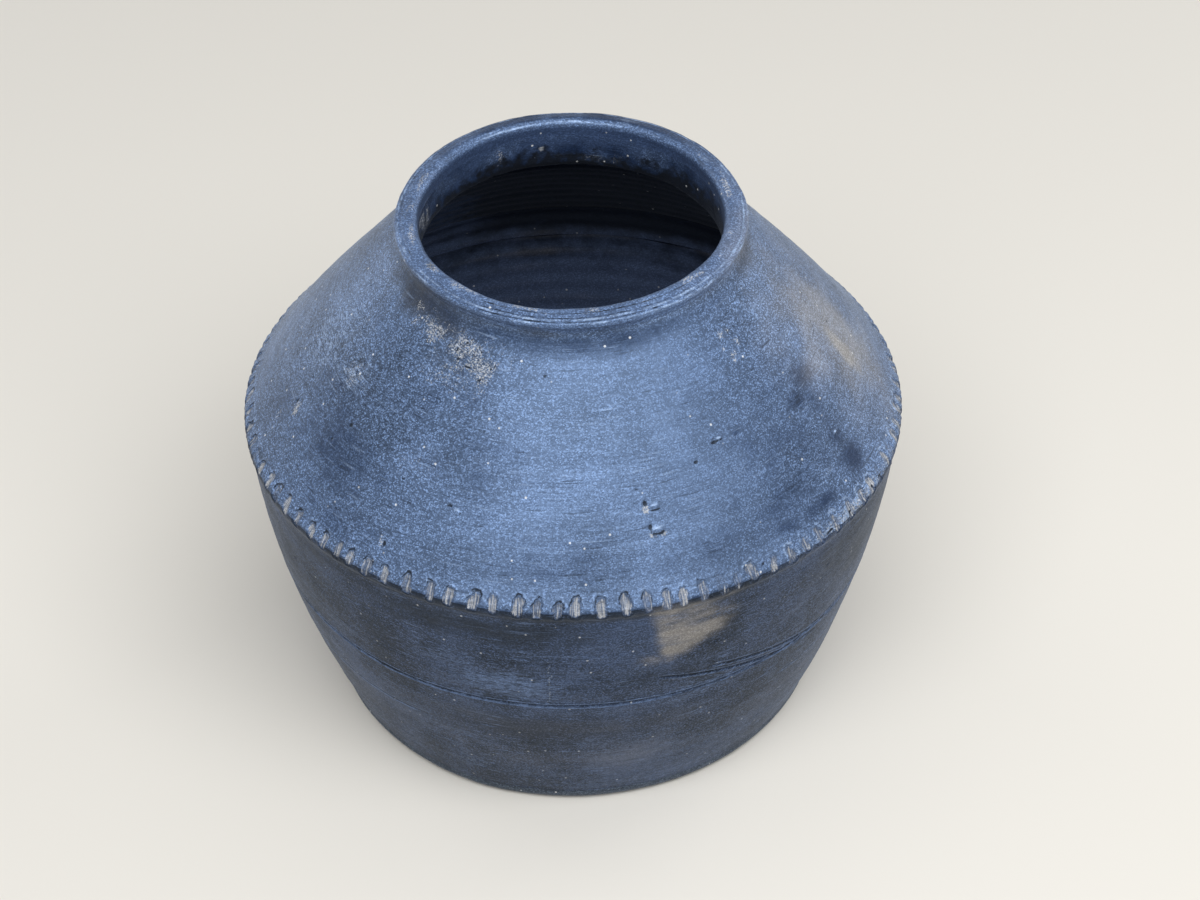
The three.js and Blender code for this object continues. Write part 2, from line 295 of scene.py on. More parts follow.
# Patches: degrees from the front towards the right, height, half width, half height and strength
PATCHES = {
    # Pale ash and fire clouds; the first three patches, near the right edge of the shoulder, are partly a
    # pale deposit and partly a painted highlight
    "ash_and_highlight": (
        (81, 187, 9, 24, 0.9), (79, 199, 11, 12, 0.3), (84, 192, 36, 46, 0.6), (72, 212, 30, 22, 0.2),
        (78, 247.5, 42, 9, 0.3), (-2, 42, 70, 16, 0.2), (205, 118, 26, 20, 0.7),
    ),
    # Paler patches of wear; the first two, at the left edge of the shoulder, are partly a painted reflection,
    # and the last, round the foot, is painted light from the floor
    "wear_and_highlight": (
        (-78, 205, 34, 36, 0.42), (-60, 203, 14, 11, 0.48), (56, 152, 44, 5, 0.6),
        (-26, 112, 36, 12, 0.5), (16, 92, 24, 6, 0.3), (-12, 100, 34, 14, 0.72), (24, 86, 26, 10, 0.5),
        (8, 13, 90, 8, 0.4),
    ),
    "dust": (
        (-45, 230.5, 14, 7, 0.82), (-31.5, 229.8, 17, 7, 0.78), (-27, 226, 14, 8, 0.8),
        (-35, 219, 20, 12, 0.52), (-54, 234, 5, 3, 0.7), (-34, 190, 13, 8, 0.4),
        (46.5, 226, 2.6, 2.4, 0.82), (45.5, 222, 2.2, 2.8, 0.82), (47.5, 218.6, 3.4, 1.9, 0.85),
        (51, 221, 2.2, 3, 0.76), (50, 226, 2.4, 2.2, 0.74), (-60.5, 203, 10, 10, 0.62),
        (-69.9, 177, 3, 6, 0.9), (-73.8, 168, 2.5, 3, 0.7), (-35.4, 161.9, 1.6, 4, 0.8),
        (56, 151.5, 44, 4.5, 0.7), (-38, 151.5, 30, 4.5, 0.4), (-23, 27, 12, 6, 0.55),
        (160, 190, 16, 12, 0.5), (-150, 60, 18, 9, 0.45),
    ),
    # Brownish tinges; the patches just under the rim are also painted shade under its overhang
    "brown": (
        (-34, 226, 24, 12, 0.5), (-4, 66, 80, 13, 0.6), (40, 50, 60, 16, 0.45), (-60, 40, 50, 22, 0.5),
        (-54, 237, 34, 13, 1), (-10, 241, 14, 3, 0.6), (78, 237, 20, 8, 0.6), (180, 238, 34, 8, 0.5),
    ),
    # Soot: blotches of smoke, and painted shade: the patches just under the band and the last two, under the
    # rim, are painted shade, and the broad ones on the right of the shoulder darken it there
    "soot_and_shade": (
        (62, 197.5, 10, 6, 0.7), (56, 193, 10, 6, 0.62), (61, 184, 8, 17, 0.5),
        (60.4, 173.6, 8, 8, 0.7), (61, 163, 11, 10, 0.85), (47.9, 160, 15, 5, 0.75),
        (40.2, 160, 11, 5, 0.65), (37.6, 196.5, 3, 2, 0.7), (31.8, 174.4, 4, 4, 0.5),
        (-6.1, 97.7, 7, 3, 0.6), (-53, 178, 34, 18, 0.58), (-47, 160, 16, 8, 0.4),
        (-20, 198, 26, 22, 0.34), (30, 163, 44, 9, 0.36), (-3, 166, 40, 11, 0.28),
        (-31, 212, 24, 14, 0.26), (-43, 163, 26, 9, 0.32), (44, 168, 24, 12, 0.5),
        (43, 190, 22, 16, 0.42), (-70, 222, 24, 12, 0.34), (-76, 173, 14, 18, 0.34),
        (52, 186, 34, 30, 0.36), (-62, 188, 22, 20, 0.4), (-20, 137, 64, 10, 0.75),
        (14, 104, 26, 7, 0.5), (58, 126, 50, 26, 0.75), (-50, 141, 30, 10, 0.7),
        (-12, 66, 46, 10, 0.35), (130, 175, 30, 24, 0.5), (-130, 110, 45, 26, 0.5),
        (-50, 239, 30, 9, 0.5), (4, 236, 62, 7, 0.68),
    ),
}

# Flaws of the burnished skin: kind, degrees, height, half width, half height
flaws = [
    ("hole", 13.8, 184.0, 0.9, 1.0), ("stain", 13.8, 182.0, 1.3, 1.6), ("flake", 15.7, 182.4, 2.1, 1.2),
    ("hole", 14.1, 176.0, 0.9, 1.2), ("flake", 15.4, 174.9, 2.3, 1.7), ("stain", 16.5, 173.3, 1.4, 0.9),
    ("stain", 14.2, 173.4, 1.5, 0.8), ("hole", 12.6, 188.8, 0.7, 0.7), ("hole", -24.3, 180.8, 1.5, 0.6),
    ("flake", -22.6, 179.4, 1.4, 1.0), ("hole", -52.9, 189.3, 0.9, 0.9), ("hole", -71.2, 178.5, 0.5, 1.2),
    ("stain", -69.6, 176.5, 1.4, 3.2), ("hole", 31.8, 196.6, 1.5, 0.7), ("flake", 33.0, 197.2, 1.4, 0.9),
    ("hole", 26.3, 192.7, 1.0, 0.7), ("hole", -34.6, 161.2, 0.8, 1.2), ("flake", 60.8, 175.0, 1.2, 1.0),
    ("stain", 46.8, 216.6, 0.8, 0.8),
]
# Small holes and flakes all over the pot
STRAY_FLAWS = 44
flaw_draw = np.random.default_rng(11)
for _ in range(STRAY_FLAWS):
    kind = "hole" if flaw_draw.random() < 0.6 else "flake"
    place = (flaw_draw.uniform(0, 360), flaw_draw.uniform(12, 240))
    flaws.append((kind, *place, flaw_draw.uniform(0.45, 0.85), flaw_draw.uniform(0.45, 0.75)))

# Lines drawn in wet clay: height at the front, rise to the right, depth, half width, first and last degree
SCORED_LINES = (
    (86, 0.6, 0.8, 0.9, -180, 180),
    (111, -39, 0.6, 0.9, 13, 52),
    (115.5, -39, 0.45, 0.9, 22, 60),
    (65, 0.5, 0.3, 0.8, -21, -13),
    (57, 0.5, 0.3, 0.8, -16, -11),
    (44, -0.6, 0.3, 0.8, -14, -9),
    (120, 0.6, 0.3, 0.8, -12, 3),
    (117, 48, 0.35, 0.7, 21, 27),
    (58, 0.4, 0.2, 0.8, -70, -30),
    (66, -0.6, 0.2, 0.8, 40, 95),
    (112, 1.0, 0.2, 0.8, 100, 220),
)

# A pale hair crack down the wall: degrees, highest and lowest point
HAIR_CRACK = (-4.6, 121, 86)


def no_marks(wall):
    """Every mark, absent everywhere."""
    return {name: np.zeros_like(wall.angle) for name in MARKS}


def deepen(marks, name, values, where=...):
    """Raises a mark to new values where they are higher."""
    marks[name][where] = np.maximum(marks[name][where], values)


# Width of a degree on the wall under the band
MM_PER_DEGREE = 2.57


def fire_cloud(wall):
    """The pale wedge under the band, where a shard kept the smoke off."""
    warp = wall.lumpy((2.3, 13, 9, 31), (0.9, 4, 3, 32))
    across = np.degrees(wall.turn(0)) * MM_PER_DEGREE + warp
    height = np.interp(wall.along, outer_face.along, outer_face.line[:, 1]) + warp
    left = ramp(-3.0, 5.0, across - 32 - 0.2 * np.maximum(0, 145 - height))
    right = ramp(14, -12, across - 68)
    lower_edge = 112 + 0.3 * np.maximum(0, across - 40) + 0.001 * (across - 32) ** 2
    below = ramp(-4, 6, height - lower_edge)
    above = ramp(5, -3, height - 147)
    tail = ramp(5, -3, np.abs(across - 33) - 5) * ramp(4, -2, np.abs(height - 114) - 1.5)
    streaks = wall.lumpy((0.2, 26, 5, 34), (0.26, 9, 1.8, 35), (0.14, 4, 3, 36))
    strength = 0.8 + streaks - 0.3 * ramp(44, 68, across) * ramp(122, 142, height)
    return np.maximum(left * right * below * strength, 0.45 * tail) * above


def scored(wall, relief, marks):
    """Draws the scored lines, each a groove painted dark as shade, with a lip on both sides painted pale as a
    highlight.
    """
    waver = 0.6 * clay_noise(wall.angle, 0 * wall.along, 60, 10, 6)
    for height, rise, depth, half, start, end in SCORED_LINES:
        reach = 0.5 * (end - start)
        degrees = np.degrees(wall.turn(0.5 * (start + end)))
        drawn = 1 if reach > 179 else ramp(reach, reach - 4, np.abs(degrees))
        away = np.abs(wall.above(height) - (rise * np.sin(wall.turn(0)) + waver))
        groove = drawn * ramp(half, 0.0, away)
        lip = drawn * ramp(0.8, 0.0, np.abs(away - half - 0.5))
        relief = relief + depth * (0.3 * lip - groove)
        deepen(marks, "pit_shade", 0.55 * groove)
        deepen(marks, "wear_and_highlight", 0.95 * lip)
    return relief


def patched(wall, relief, marks):
    """Lays the patches on the skin; dust is crumbly, with gaps painted dark as shade, and the others have
    soft edges.
    """
    soft_edge = wall.lumpy((0.25, 22, 16, 20), (0.1, 8, 6, 21))
    crumbs = wall.noise(2.4, 2.0, 23)
    crumbly_edge = wall.lumpy((0.3, 11, 8, 21), (0.3, 4, 3, 22)) + 0.25 * crumbs
    for mark, patches in PATCHES.items():
        ragged = crumbly_edge if mark == "dust" else soft_edge
        for degrees, height, wide, tall, strength in patches:
            away = np.hypot(wall.aside(degrees) / wide, wall.above(height) / tall)
            patch = strength * ramp(1.5, 0.1, away + ragged)
            deepen(marks, mark, patch)
            if mark == "dust":
                relief = relief + 0.3 * patch * crumbs
                deepen(marks, "pit_shade", 0.8 * ramp(0.35, 0.8, patch) * ramp(0.55, 0.85, -crumbs))
    return relief


def flawed(wall, relief, marks):
    """Adds pinholes painted dark as shade, raised flakes with a painted highlight on top and painted shade
    along their lower edge, and stains.
    """
    for kind, degrees, height, wide, tall in flaws:
        up = wall.above(height) / tall
        if up.min() >= 1 or up.max() <= -1:
            continue
        away = np.hypot(wall.aside(degrees) / wide, up)
        spot = np.clip(1 - away / 2, 0, 1)
        if kind == "hole":
            relief = relief - 0.6 * ramp(0.2, 0.9, spot)
            deepen(marks, "pit_shade", 0.85 * spot)
        elif kind == "flake":
            relief = relief + 0.35 * ramp(1.2, 0.8, away)
            deepen(marks, "wear_and_highlight", 1.15 * spot * ramp(-0.4, 0.4, up))
            shaded = np.clip(1 - np.abs(away - 1.2) / 0.7, 0, 1)
            deepen(marks, "pit_shade", 0.75 * shaded * ramp(0.0, -0.6, up))
        else:
            deepen(marks, "dust", np.clip(1.5 * spot, 0, 1))
    return relief


def hair_crack(wall):
    """Cover of the pale crack, which wavers on its way down."""
    degrees, top, bottom = HAIR_CRACK
    waver = Wall(0 * wall.angle, wall.along, wall.radius).lumpy((2.6, 10, 9, 25), (1.4, 10, 3.5, 26))
    ends = ramp(0, 4, wall.above(bottom)) * ramp(0, 4, -wall.above(top))
    return 0.85 * ends * ramp(1.0, 0.25, np.abs(wall.aside(degrees) - waver))


def skin(wall):
    """Relief of the outer face in mm, and the marks of fire, dust and wear on it, with painted shade and
    highlights.
    """
    marks = no_marks(wall)
    relief = wall.lumpy((0.3, 55, 38, 1), (0.14, 24, 13, 2))
    wiping = wall.lumpy((0.05, 140, 3.6, 3), (0.04, 60, 1.9, 4))
    relief = relief + wiping + 0.07 * wall.noise(5, 4, 5)
    relief = scored(wall, relief, marks)
    relief = patched(wall, relief, marks)
    relief = flawed(wall, relief, marks)
    deepen(marks, "dust", hair_crack(wall))
    deepen(marks, "ash_and_highlight", fire_cloud(wall))
    # The front of the shoulder was rubbed most
    rubbed = ramp(0.95, 0.25, np.abs(wall.turn(6))) * (0.85 + 0.15 * wall.noise(30, 20, 27))
    on_shoulder = ramp(at_edge - 4, at_edge + 8, wall.along) * ramp(at_rim + 2, at_rim - 6, wall.along)
    marks["polish"] = rubbed * on_shoulder
    return relief, marks


NOTCH_COUNT = 100
notch_draw = np.random.default_rng(5)
notch_gaps = notch_draw.uniform(0.78, 1.22, NOTCH_COUNT)
notch_angles = FULL_TURN * np.cumsum(notch_gaps) / notch_gaps.sum()
notch_widths = notch_draw.uniform(4.2, 5.9, NOTCH_COUNT)
notch_depths = notch_draw.uniform(0.8, 1.8, NOTCH_COUNT)
notch_slants = notch_draw.normal(0.0, 0.1, NOTCH_COUNT)
notch_middles = notch_draw.normal(2.5, 0.4, NOTCH_COUNT)
notch_reaches = notch_draw.normal(4.9, 0.35, NOTCH_COUNT)
notch_dusts = notch_draw.uniform(0.75, 1.0, NOTCH_COUNT)
rubbed_out = notch_draw.random(NOTCH_COUNT) < 0.06
notch_depths[rubbed_out] *= 0.35
notch_dusts[rubbed_out] *= 0.5
notches = list(zip(
    notch_angles, notch_widths, notch_depths, notch_slants, notch_middles, notch_reaches, notch_dusts,
))
# Only this much of the turn on either side of a notch is looked at
NOTCH_NEAR = 0.05


def notched_skin(wall):
    """The skin of the band, with its row of notches pressed by a rounded stick."""
    relief, marks = skin(wall)
    up = wall.along - at_edge
    uneven = wall.lumpy((0.2, 2.6, 2.4, 33), (0.12, 1.2, 1.4, 37))
    # At the right the notches are rubbed paler, with stronger painted highlights on their lips and less
    # painted shade in their outlines and under the edge
    rubbed = ramp(0.4, 0.75, wall.turn(0)) * ramp(2.0, 1.6, wall.turn(0))
    for place, wide, depth, slant, middle, reach, dust in notches:
        turn = (wall.angle - place + math.pi) % FULL_TURN - math.pi
        near = np.abs(turn) < NOTCH_NEAR
        v = (up[near] - middle) / reach
        u = (turn[near] * wall.radius[near] - slant * (up[near] - middle)) / (wide / 2)
        away = (np.abs(u) ** 2.3 + np.abs(v) ** 2.6) ** 0.42 + uneven[near]
        raised = 0.14 * ramp(0.95, 1.1, away) * ramp(1.5, 1.15, away)
        relief[near] += raised - depth * ramp(1.05, 0.35, away)
        deepen(marks, "notch", dust * ramp(1.0, 0.7, away), near)
        deepen(marks, "dust", 0.62 * dust * ramp(1.0, 0.75, away), near)
        # Pale lips round each notch: partly wear and partly painted highlight
        pale = (0.42 + 0.3 * rubbed[near]) * dust
        deepen(marks, "wear_and_highlight", pale * ramp(1.02, 1.18, away) * ramp(1.6, 1.25, away), near)
        # A dark outline round each notch, strongest at its top, is painted shade in the hollow
        arch = np.clip(1 - np.abs(away - 1) / 0.28, 0, 1) * (0.26 + 0.3 * ramp(-0.6, 0.6, v))
        deepen(marks, "pit_shade", arch * min(1, depth) * (1 - 0.55 * rubbed[near]), near)
    # Painted shade under the band's edge, between the notches
    under = ramp(2.5, 0.5, up) * ramp(-9, -3, up)
    deepen(marks, "soot_and_shade", 0.75 * under * (1 - marks["notch"]) * (1 - 0.6 * rubbed))
    return relief, marks


def rim_skin(wall):
    """The skin of the rim: the lines that a wet rag left round its edge, their grooves painted dark as shade
    and their edges painted pale as highlights, and dust along its top.
    """
    relief, marks = skin(wall)
    along = wall.along
    waver = 0.3 * clay_noise(wall.angle, 0 * along, 40, 10, 41)
    front = ramp(1.1, 0.4, np.abs(wall.turn(4)))
    for line, depth in ((at_rim + 7.2, 0.14), (at_rim + 9.3, 0.16), (at_crest - 2.2, 0.08)):
        away = np.abs(along - line - waver)
        relief = relief - depth * ramp(0.8, 0.0, away)
        deepen(marks, "pit_shade", (0.28 + 0.17 * front) * ramp(0.8, 0.1, away))
    # Painted highlights along the edges; the one on the inner edge is brightest at the back
    bright = 0.3 + 0.65 * ramp(0.85, 0.3, np.abs(wall.turn(187)))
    for line, strength in ((at_rim + 6.2, 0.8), (at_rim + 8.2, 0.95), (at_crest + 2.4, bright)):
        wear_and_highlight = strength * ramp(0.9, 0.2, np.abs(along - line - waver))
        deepen(marks, "wear_and_highlight", wear_and_highlight * (0.65 + 0.35 * wall.noise(16, 4, 43)))
    relief = relief + wall.lumpy((0.1, 14, 5, 42), (0.03, 3, 2, 44))
    top = ramp(at_crest - 3.6, at_crest - 1.6, along) * ramp(at_crest + 2.2, at_crest + 0.4, along)
    far = ramp(1.7, 2.7, np.abs(wall.turn(0)))
    dusty = ramp(-0.6, 0.6, wall.noise(14, 4, 45))
    deepen(marks, "dust", 0.8 * top * dusty * (1 - 0.8 * far))
    deepen(marks, "soot_and_shade", 0.7 * far * ramp(at_crest + 1.5, at_crest, along))
    marks["inside"] = ramp(at_crest + 3.2, at_crest + 6, along) * 0.9
    return relief, marks


# Distance between the rings inside
RING_SPACING = 9.0


def inner_skin(wall):
    """The inside: rings left by the potter's fingers, darkened by soot, their crests painted paler as
    highlights.
    """
    relief = 0.5 * np.sin(FULL_TURN * wall.along / RING_SPACING + 1.2 * wall.noise(160, 30, 51))
    relief = relief * (0.6 + 0.4 * wall.noise(90, 25, 52)) + 0.25 * wall.noise(30, 12, 53)
    marks = no_marks(wall)
    marks["inside"] = np.full_like(wall.angle, 0.9)
    # The crests of the rings are painted paler as highlights
    marks["ash_and_highlight"] = ramp(-0.1, 0.5, relief) * 0.25
    return relief, marks


def left_of_back(wall):
    """Share of the inside, past the middle of its far side, that is painted lit rather than shaded."""
    return ramp(0.1, 0.6, wall.turn(180))


def under_shoulder_skin(wall):
    """The inside of the shoulder, painted dark as shade, and painted lit towards the left of its far side."""
    relief, marks = inner_skin(wall)
    lit_share = left_of_back(wall) * ramp(15, 55, wall.along)
    marks["soot_and_shade"] = 1 - 0.7 * lit_share
    marks["pit_shade"] = 0.8 * marks["soot_and_shade"]
    marks["ash_and_highlight"] = marks["ash_and_highlight"] * (0.2 + 0.8 * lit_share)
    return relief, marks


def coil_skin(wall):
    """The coil under the shoulder, painted dark as shade on its upper side, less so where the inside is
    painted lit.
    """
    relief, marks = inner_skin(wall)
    marks["soot_and_shade"] = ramp(28, 12, wall.along) * (1 - 0.85 * left_of_back(wall))
    marks["ash_and_highlight"] = marks["ash_and_highlight"] * (1 - marks["soot_and_shade"])
    return relief, marks


def belly_inner_skin(wall):
    """The inside of the belly, painted dark as shade at its top under the shoulder, and darker again towards
    the floor.
    """
    relief, marks = inner_skin(wall)
    marks["soot_and_shade"] = 0.7 * ramp(42, 2, wall.along) + 0.3 * ramp(60, 90, wall.along)
    return relief, marks


# A grain of white grit inside the neck: degrees, depth under the rim and radius
GRAIN_TURN = 191
GRAIN_DEPTH = 6
GRAIN_RADIUS = 1.1


def collar_inner_skin(wall):
    """The inside of the neck, scraped and gritty, painted darker at the sides and downwards as shade inside
    the mouth.
    """
    relief = wall.lumpy((0.22, 20, 6, 61), (0.12, 5, 3, 62))
    marks = no_marks(wall)
    marks["inside"] = 0.7 + wall.lumpy((0.3, 34, 9, 64), (0.2, 8, 5, 67))
    # Painted shade inside the mouth: darker downwards and at the sides, with a random mottle
    deeper = wall.along + wall.lumpy((4, 34, 40, 66), (1.5, 14, 5, 69))
    sides = ramp(0.6, 1.3, np.abs(wall.turn(180)))
    marks["soot_and_shade"] = 1.15 * ramp(1, 20, deeper) + 0.55 * sides + 0.3 * ramp(0.0, 0.7, wall.noise(24, 7, 68))
    dusty = 0.8 * ramp(0.0, 0.7, wall.noise(26, 9, 65)) * ramp(-0.6, 0.4, wall.noise(5, 4, 63))
    marks["dust"] = dusty * ramp(17, 10, wall.along)
    marks["pit_shade"] = np.clip(0.14 + 0.024 * deeper + 0.1 * sides, 0, 0.9)
    grain = np.hypot(wall.aside(GRAIN_TURN), wall.along - GRAIN_DEPTH) / GRAIN_RADIUS
    deepen(marks, "dust", 2 * np.clip(1.5 - grain, 0, 1))
    return relief, marks


def bare_clay(wall):
    """Hidden joints, left as they were pressed."""
    return 0.06 * wall.noise(8, 6, 71), no_marks(wall)


def underside_skin(wall):
    """The flat underside, gritty from the board it dried on."""
    return -0.15 * np.abs(wall.noise(14, 9, 81)) * ramp(0, 30, wall.radius), no_marks(wall)


def pot_floor_skin(wall):
    """The floor of the pot, dark with soot."""
    relief, marks = inner_skin(wall)
    marks["soot_and_shade"] = np.full_like(wall.angle, 0.8)
    return -0.3 * np.abs(relief) * ramp(0, 30, wall.radius), marks


# Meshes
def strip(outline, start, end, step, columns, finish):
    """Rows of places round the pot along a part of an outline, with their marks and normals."""
    along = np.linspace(start, end, max(2, int(math.ceil(abs(end - start) / step)) + 1))
    # One more row at each end gives the normals there
    along = np.r_[2 * along[0] - along[1], along, 2 * along[-1] - along[-2]]
    along = np.clip(along, outline.along[0], outline.along[-1])
    radius, height, out_r, out_z = (values[:, None] for values in outline.at(along))
    turns = np.linspace(0, FULL_TURN, columns, endpoint=False)
    angle = np.broadcast_to(turns, (len(along), columns)).copy()
    along_grid = np.broadcast_to(along[:, None], angle.shape)
    radius_grid = np.broadcast_to(radius, angle.shape)
    relief, marks = finish(Wall(angle, along_grid, radius_grid))
    places = hand_built(angle, radius_grid + relief * out_r, height + relief * out_z)
    upward = np.vstack([places[1:2] - places[:1], places[2:] - places[:-2], places[-1:] - places[-2:-1]])
    normals = np.cross(np.roll(places, -1, axis=1) - np.roll(places, 1, axis=1), upward)
    normals /= np.maximum(np.linalg.norm(normals, axis=-1, keepdims=True), 1e-9)
    return places[1:-1], {name: values[1:-1] for name, values in marks.items()}, normals[1:-1]


def whole(outline, step, columns, finish):
    """A strip along the whole of an outline."""
    return strip(outline, outline.along[0], outline.along[-1], step, columns, finish)


# The flat map of a piece: length of a join between strips, gap after each strip, and margins as shares
FLAT_JOIN = 7
FLAT_GAP = 8
FLAT_MARGIN_ROUND = 0.004
FLAT_MARGIN_UP = 0.01
# Where the two caps of a disc lie on its flat map, and how large they are there
CAP_PLACE = 0.001
CAP_RADIUS = 0.0005


class Faces:
    """Faces between rows of places, with their places on a flat map that is cut into bands."""

    def __init__(self, length, girth):
        self.length = length
        self.bands = max(1, round(math.sqrt(girth / length)))
        self.corners, self.sizes, self.flat = [], [], []

    def join(self, rows, levels):
        """Joins two rows, each a first place and a number of columns, also where the numbers differ."""
        columns = min(count for _, count in rows)
        places, turns = [], []
        for start, count in rows:
            share = count // columns
            index = np.arange(columns)[:, None] * share + np.arange(share + 1)[None]
            places.append(start + index % count)
            turns.append(np.arange(share + 1) / share)
        self.corners.append(np.concatenate([places[0], places[1][:, ::-1]], axis=1).ravel())
        self.sizes.append(np.full(columns, places[0].shape[1] + places[1].shape[1]))
        column = np.arange(columns)
        band = column * self.bands // columns
        across = (column - band * columns / self.bands)[:, None]
        u = np.concatenate([turns[0], turns[1][::-1]])[None] + across
        v = np.concatenate([np.full(len(turn), level) for turn, level in zip(turns, levels)])
        u = FLAT_MARGIN_ROUND + (1 - 2 * FLAT_MARGIN_ROUND) * u / (columns / self.bands)
        v = FLAT_MARGIN_UP + (1 - 2 * FLAT_MARGIN_UP) * v[None] / self.length
        v = (band[:, None] + v) / self.bands
        self.flat.append(np.stack([u, np.broadcast_to(v, u.shape)], axis=-1).reshape(-1, 2))

    def cap(self, ring):
        """Closes a ring of places with one face."""
        self.corners.append(ring)
        self.sizes.append(np.array([len(ring)]))
        self.flat.append(CAP_PLACE + CAP_RADIUS * np.stack([np.cos(ring), np.sin(ring)], axis=1))


def joined_strips(strips, capped):
    """The faces of a closed ring of strips, or of a capped disc."""
    grids = [places for places, _, _ in strips]
    starts = np.cumsum([0] + [grid.shape[0] * grid.shape[1] for grid in grids])
    steps = [np.linalg.norm(np.diff(grid[:, 0], axis=0), axis=1) for grid in grids]
    reach = np.cumsum([0] + [step.sum() + FLAT_GAP for step in steps])
    faces = Faces(reach[-1] + FLAT_GAP, FULL_TURN * np.hypot(*grids[0][0, 0, :2]))
    for k, grid in enumerate(grids):
        count, columns = grid.shape[:2]
        section = np.r_[0, np.cumsum(steps[k])] + reach[k]
        for row in range(count - 1):
            here = starts[k] + row * columns
            faces.join(((here, columns), (here + columns, columns)), section[row:row + 2])
        last = k == len(grids) - 1
        if not (last and capped):
            follow = 0 if last else k + 1
            rows = ((starts[k + 1] - columns, columns), (starts[follow], grids[follow].shape[1]))
            faces.join(rows, (section[-1], section[-1] + FLAT_JOIN))
    if capped:
        columns = grids[0].shape[1]
        faces.cap(np.arange(columns)[::-1])
        faces.cap(starts[-1] - columns + np.arange(columns))
    return faces


def placed(name, data):
    """An object in the scene."""
    thing = bpy.data.objects.new(name, data)
    bpy.context.scene.collection.objects.link(thing)
    return thing


def clay_piece(name, node, strips, clay, capped=False):
    """A closed ring of strips, or a capped disc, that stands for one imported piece."""
    faces = joined_strips(strips, capped)
    corners, sizes, flat = (np.concatenate(v) for v in (faces.corners, faces.sizes, faces.flat))
    mesh = bpy.data.meshes.new(name)
    points = np.concatenate([s[0].reshape(-1, 3) for s in strips]) * MM
    mesh.vertices.add(len(points))
    mesh.vertices.foreach_set("co", points.ravel())
    mesh.loops.add(len(corners))
    mesh.loops.foreach_set("vertex_index", corners)
    mesh.polygons.add(len(sizes))
    mesh.polygons.foreach_set("loop_start", np.r_[0, np.cumsum(sizes)[:-1]])
    mesh.update(calc_edges=True)
    mesh.validate()
    mesh.shade_smooth()
    mesh.normals_split_custom_set_from_vertices(np.concatenate([s[2].reshape(-1, 3) for s in strips]))
    for mark in MARKS:
        values = np.concatenate([s[1][mark].ravel() for s in strips])
        mesh.attributes.new(mark, "FLOAT", "POINT").data.foreach_set("value", values)
    mesh.uv_layers.new(name="OFBake").data.foreach_set("uv", flat.ravel())
    mesh.materials.append(clay)
    piece = placed(name, mesh)
    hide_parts(node)
    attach(piece, "root")


# Materials
def hex_colour(text):
    """An sRGB hex colour as linear red, green, blue and full cover."""
    shares = [int(text[k:k + 2], 16) / 255 for k in (1, 3, 5)]
    return (*(s / 12.92 if s <= 0.04045 else ((s + 0.055) / 1.055) ** 2.4 for s in shares), 1)


def add(tree, kind, inputs, **settings):
    """A node with its settings, its values and its links."""
    node = tree.nodes.new(kind)
    for name, value in settings.items():
        setattr(node, name, value)
    for socket, value in inputs.items():
        if isinstance(value, bpy.types.NodeSocket):
            tree.links.new(value, node.inputs[socket])
        else:
            node.inputs[socket].default_value = value
    return node


def reckon(tree, operation, *values, **settings):
    """The result of one sum on sockets or numbers."""
    return add(tree, "ShaderNodeMath", dict(enumerate(values)), operation=operation, **settings).outputs[0]


def reckon_vector(tree, operation, *values):
    """The result of one sum on vectors."""
    return add(tree, "ShaderNodeVectorMath", dict(enumerate(values)), operation=operation).outputs[0]


def spread(tree, value, low, high, at_low, at_high, **settings):
    """A value carried from one range to another."""
    inputs = {0: value, 1: low, 2: high, 3: at_low, 4: at_high}
    return add(tree, "ShaderNodeMapRange", inputs, **settings).outputs[0]


def laid_over(tree, cover, under, shown):
    """A colour laid over another by its cover."""
    inputs = {0: cover, 6: under, 7: hex_colour(shown)}
    return add(tree, "ShaderNodeMix", inputs, data_type="RGBA").outputs[2]


# Patterns in the clay: sizes in mm round the pot twice and then upwards, detail and roughness
PATTERNS = (
    ("clouds", (45, 45, 45), 4, 0.6),
    ("mottle", (13, 13, 10), 3, 0.6),
    ("coarse", (4.5, 4.5, 3.6), 2, 0.6),
    ("combed", (4.0, 4.0, 0.8), 2, 0.6),
    ("crumbs", (0.8, 0.8, 0.65), 2, 0.7),
    ("lines", (70, 70, 1.3), 3, 0.6),
    ("scuffs", (15, 15, 0.72), 1, 0.5),
    ("strokes", (0.7, 1.0, 9), 2, 0.6),
)
# Facets of burnished grit in mm, drawn coarser than the grit is so that they still show
GRIT_LENGTH = 0.55
GRIT_HEIGHT = 0.45
# A power leaves most facets dull and a few bright; the lift brings their mean back to a half
FACET_POWER = 2.5
FACET_LIFT = 0.214
# Shares of the patterns in the grain, and how much of it is left where the pebble rubbed most
GRAIN_SHARES = (
    ("mottle", 0.6), ("coarse", 0.2), ("combed", 0.4), ("crumbs", 0.5), ("facets", 1.0), ("lines", 0.5),
)
POLISHED_GRAIN = 0.55
# How much a dull and a bright facet change the colour of every layer
FACET_SHADES = (-0.15, 0.5)
